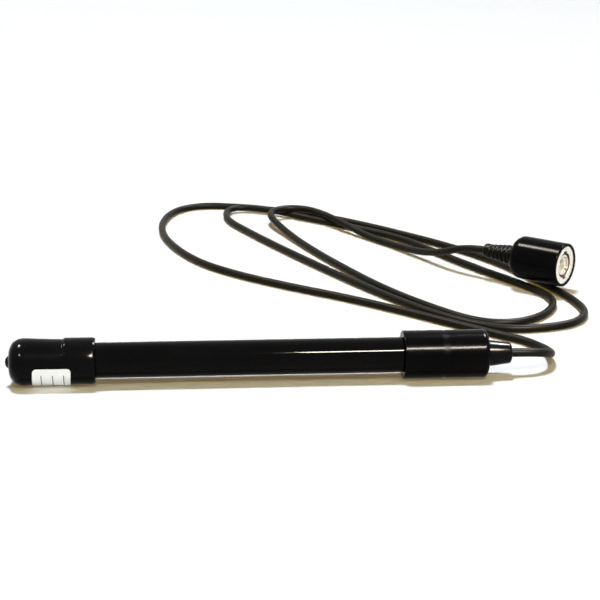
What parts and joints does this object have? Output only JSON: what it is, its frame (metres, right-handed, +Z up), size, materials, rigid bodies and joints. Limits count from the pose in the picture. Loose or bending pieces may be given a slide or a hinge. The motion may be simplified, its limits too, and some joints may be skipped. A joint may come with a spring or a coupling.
{
  "type": "redox electrode",
  "caption": "Redox (ORP) electrode: capped black tube with a thicker head, and a thin signal cable in loose loops that ends in a coaxial bayonet plug.",
  "frame": {"origin": "centre of the bottom of the probe's box (cap, tube, head and gland), on the table that it lies on; cable and plug left out", "axes": "+X along the probe from its capped tip towards the cable gland, +Z up from the table; the cable and plug lie towards +Y"},
  "size_m": [0.2186, 0.2525, 0.0208],
  "materials": {
    "cap_vinyl": "soft gloss",
    "label_paper": "matt",
    "tube_plastic": "gloss",
    "head_plastic": "gloss",
    "gland_rubber": "satin",
    "cable_jacket": "satin",
    "boot_rubber": "satin",
    "grip_plastic": "satin gloss",
    "nickel": "plated",
    "gold_plate": "plated",
    "white_insulator": "waxy",
    "clear_glass": "clear",
    "platinum": "polished",
    "silver": "drawn wire",
    "silver_chloride": "matt",
    "copper": "drawn wire",
    "seal_resin": "cast",
    "porous_ceramic": "unglazed",
    "seal_rubber": "matt",
    "spring_steel": "bright",
    "core_insulation": "satin"
  },
  "bodies": {
    "electrode": {"electrode_tube": "tube_plastic", "glass_stem": "clear_glass", "platinum_tip": "platinum", "platinum_lead": "platinum", "front_seal": "seal_resin", "rear_seal": "seal_resin", "junction_plug": "porous_ceramic", "reference_wire": "silver", "reference_pellet": "silver_chloride", "head_cable_end": "cable_jacket", "head_core_wire": "copper", "signal_splice": "spring_steel", "screen_splice": "spring_steel", "screen_pigtail": "copper", "head_shell": "head_plastic", "o_ring": "seal_rubber", "cable_gland": "gland_rubber", "cable_clamp": "spring_steel", "cable": "cable_jacket", "cable_boot": "boot_rubber", "plug_cable_end": "cable_jacket", "plug_dielectric": "core_insulation", "plug_core_wire": "copper", "crimp_ferrule": "nickel", "plug_body": "nickel", "insulator": "white_insulator", "centre_pin": "gold_plate", "retaining_clip": "spring_steel", "plug_gasket": "seal_rubber", "wave_washer": "spring_steel"},
    "cap": {"protective_cap": "cap_vinyl", "cap_label": "label_paper"},
    "thrust_ring": {"thrust_washer": "spring_steel"},
    "coupling": {"coupling_sleeve": "nickel", "coupling_grip": "grip_plastic"}
  },
  "joints": [
    {"name": "cap_pull", "type": "slide", "parent": "electrode", "child": "cap", "axis": [-1, 0, 0], "range_m": [0, 0.05]},
    {"name": "coupling_push", "type": "slide", "parent": "electrode", "child": "thrust_ring", "axis": [0.7431, -0.6691, 0], "range_m": [0, 0.001], "stiffness_N_per_m": 500, "springref_m": -0.0005, "deforming": ["wave_washer"]},
    {"name": "coupling_turn", "type": "hinge", "parent": "thrust_ring", "child": "coupling", "pos_m": [0.12745, 0.09387, 0.0121], "axis": [0.7431, -0.6691, 0], "continuous": true}
  ]
}
